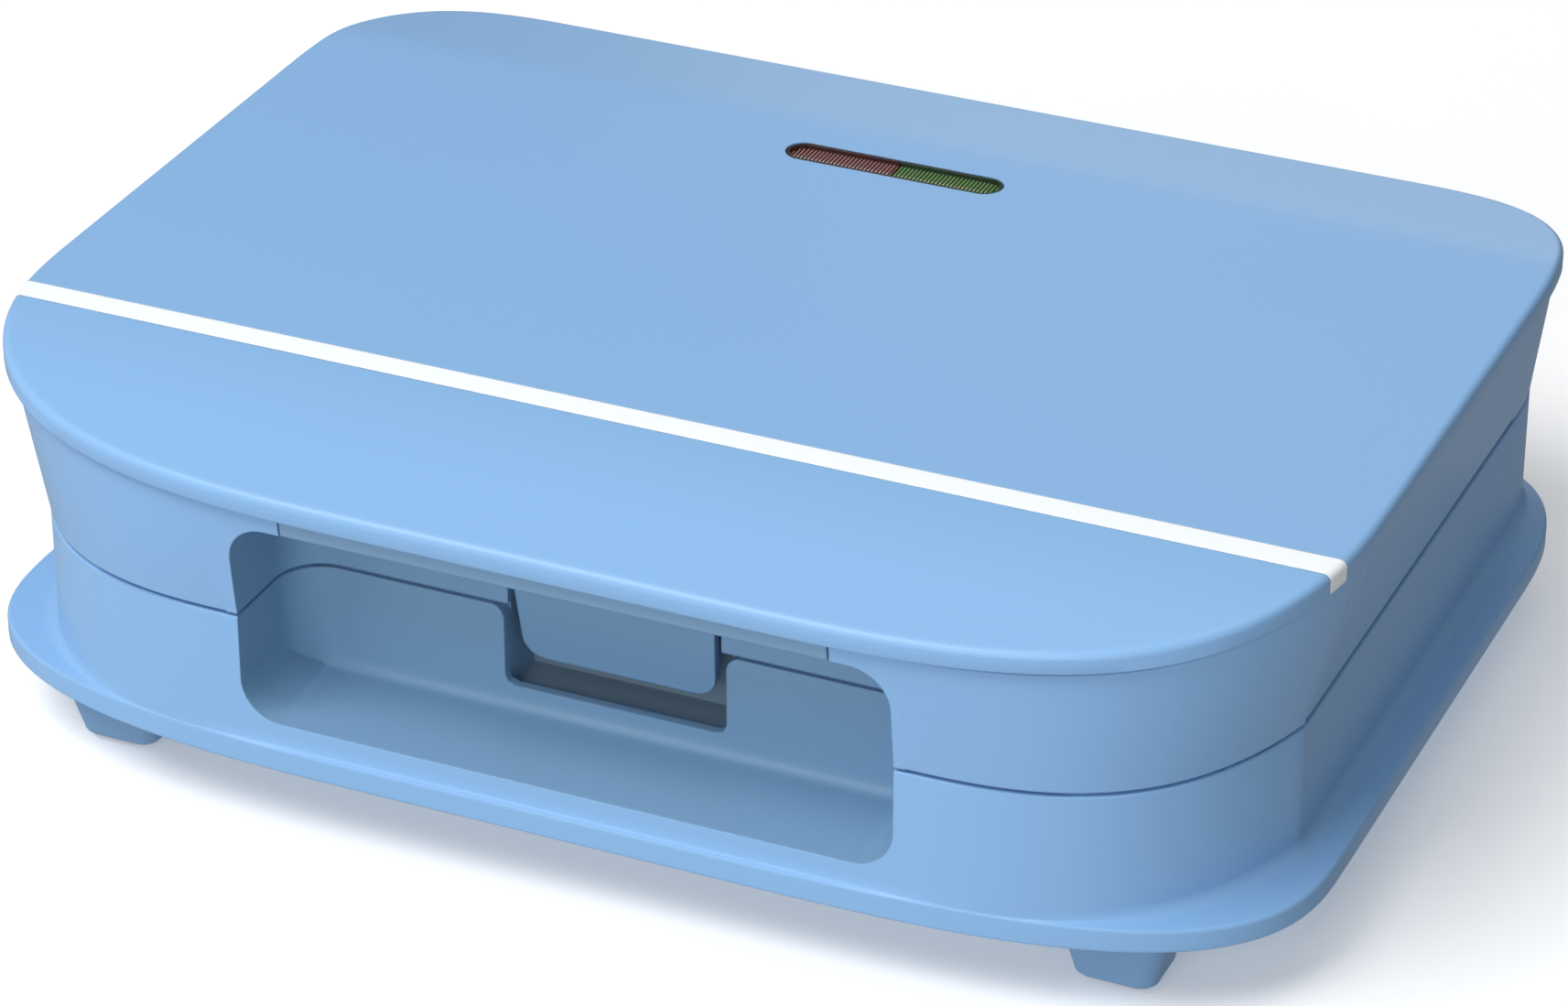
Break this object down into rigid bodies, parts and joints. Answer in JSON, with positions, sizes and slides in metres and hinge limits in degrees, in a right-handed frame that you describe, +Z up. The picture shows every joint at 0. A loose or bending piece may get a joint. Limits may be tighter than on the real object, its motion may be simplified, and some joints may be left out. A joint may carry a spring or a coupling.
{
  "type": "donut maker",
  "caption": "Pale blue countertop donut maker with a hinged lid, a finger recess with a pull latch, and non-stick ring-mould plates.",
  "frame": {"origin": "centre of the lid on the surface that the feet stand on", "axes": "+X to the right side seen from the front, +Y towards the hinge, +Z up; the front with the finger recess faces -Y"},
  "size_m": [0.2658, 0.2067, 0.08],
  "materials": {
    "housing": "satin gloss, pale blue",
    "white_plastic": "smooth white",
    "nonstick_plate": "black non-stick coating on cast aluminium",
    "bright_steel": "mill finish",
    "screw_steel": "zinc plated",
    "red_lens": "dark translucent red",
    "green_lens": "dark translucent green",
    "lamp_glass": "clear",
    "pad_rubber": "matte",
    "lead_insulation": "smooth"
  },
  "bodies": {
    "base": {"base_shell": "housing", "bottom_cover": "housing", "foot_front_left": "housing", "foot_front_right": "housing", "foot_rear_left": "housing", "foot_rear_right": "housing", "foot_pads": "pad_rubber", "lower_plate": "nonstick_plate", "lower_element": "bright_steel", "lower_reflector": "bright_steel", "lower_plate_screws": "screw_steel", "thermostat": "bright_steel", "thermal_fuse": "bright_steel", "terminal_block": "white_plastic", "base_leads": "lead_insulation", "bottom_screws": "screw_steel", "cord_gland": "pad_rubber", "hinge_pin_left": "screw_steel", "hinge_pin_right": "screw_steel"},
    "lid": {"lid_shell": "housing", "lid_cover": "housing", "trim_stripe": "white_plastic", "lens_red": "red_lens", "lens_green": "green_lens", "lamp_red": "lamp_glass", "lamp_green": "lamp_glass", "lamp_holder": "white_plastic", "upper_plate": "nonstick_plate", "upper_element": "bright_steel", "upper_reflector": "bright_steel", "upper_plate_screws": "screw_steel", "lid_leads": "lead_insulation", "lid_screws": "screw_steel", "latch_pin": "screw_steel"},
    "latch": {"latch": "housing"}
  },
  "joints": [
    {"name": "lid_hinge", "type": "hinge", "parent": "base", "child": "lid", "pos_m": [0, 0.101, 0.0452], "axis": [-1, 0, 0], "range_deg": [0, 100]},
    {"name": "latch_pivot", "type": "hinge", "parent": "lid", "child": "latch", "pos_m": [0, -0.095, 0.068], "axis": [-1, 0, 0], "range_deg": [-6, 12]}
  ]
}
